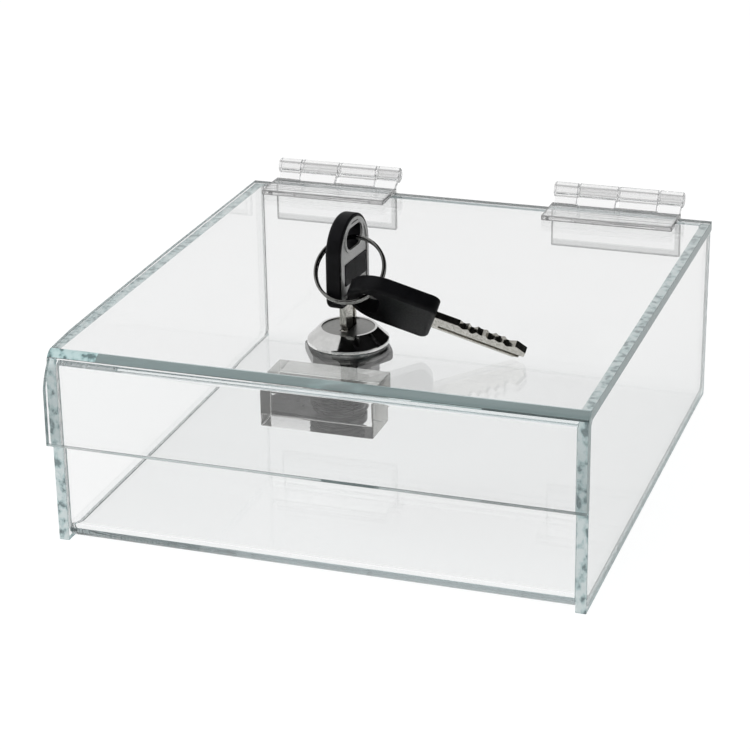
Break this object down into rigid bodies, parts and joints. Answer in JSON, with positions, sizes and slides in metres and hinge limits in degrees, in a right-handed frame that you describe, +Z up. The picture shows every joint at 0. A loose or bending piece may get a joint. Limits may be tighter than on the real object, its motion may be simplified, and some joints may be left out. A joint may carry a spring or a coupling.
{
  "type": "locking acrylic display box",
  "caption": "Clear acrylic box with a hinged front-lipped lid, a cam lock through the lid, its key and a spare on a split ring.",
  "frame": {"origin": "on the surface the box stands on, below the middle of the lid between its left and right edges and its front and back edges", "axes": "+Z up, +X to the right seen from the front, the front with the lid's flange faces -Y"},
  "size_m": [0.16, 0.1746, 0.0994],
  "materials": {
    "clear_acrylic": "polished clear sheet",
    "clear_hinge": "clear moulded plastic",
    "hinge_pin": "clear rod",
    "chrome": "polished chrome plate",
    "zinc_plate": "zinc plate",
    "plug_metal": "satin nickel plate",
    "wafer_brass": "bare brass",
    "spring_steel": "bright wire",
    "key_plastic": "moulded black plastic",
    "key_plate_metal": "satin plate",
    "key_steel": "nickel plate",
    "ring_steel": "polished steel wire"
  },
  "bodies": {
    "case": {"tray_sheet": "clear_acrylic", "side_panel_left": "clear_acrylic", "side_panel_right": "clear_acrylic", "catch_block": "clear_acrylic", "hinge_left_body_leaf": "clear_hinge", "hinge_right_body_leaf": "clear_hinge", "hinge_left_pin": "hinge_pin", "hinge_right_pin": "hinge_pin"},
    "lid": {"lid_sheet": "clear_acrylic", "hinge_left_lid_leaf": "clear_hinge", "hinge_right_lid_leaf": "clear_hinge", "lock_housing": "chrome", "lock_nut": "zinc_plate"},
    "lock_core": {"lock_plug": "plug_metal", "stop_washer": "zinc_plate", "cam": "zinc_plate", "cam_washer": "zinc_plate", "cam_screw": "zinc_plate", "wafer_1": "wafer_brass", "wafer_2": "wafer_brass", "wafer_3": "wafer_brass", "wafer_4": "wafer_brass", "wafer_5": "wafer_brass", "wafer_spring_1": "spring_steel", "wafer_spring_2": "spring_steel", "wafer_spring_3": "spring_steel", "wafer_spring_4": "spring_steel", "wafer_spring_5": "spring_steel"},
    "key": {"key_head": "key_plastic", "key_plate": "key_plate_metal", "key_blade": "key_steel"},
    "ring": {"split_ring": "ring_steel"},
    "spare_key": {"spare_key_head": "key_plastic", "spare_key_plate": "key_plate_metal", "spare_key_blade": "key_steel"}
  },
  "joints": [
    {"name": "lid_opens", "type": "hinge", "parent": "case", "child": "lid", "pos_m": [0, 0.088, 0.066], "axis": [-1, 0, 0], "range_deg": [0, 105]},
    {"name": "lock_turns", "type": "hinge", "parent": "lid", "child": "lock_core", "pos_m": [0.0017, -0.0516, 0], "axis": [0, 0, 1], "range_deg": [0, 90]},
    {"name": "key_pulls_out", "type": "slide", "parent": "lock_core", "child": "key", "axis": [0, 0, 1], "range_m": [0, 0.028]},
    {"name": "ring_swings", "type": "hinge", "parent": "key", "child": "ring", "pos_m": [0.0045, -0.0507, 0.0924], "axis": [-1, 0, 0], "range_deg": [0, 60]},
    {"name": "spare_key_swings", "type": "hinge", "parent": "ring", "child": "spare_key", "pos_m": [0.01225, -0.0613, 0.08033], "axis": [-0.6225, -0.5166, -0.5879], "range_deg": [0, 30]}
  ]
}
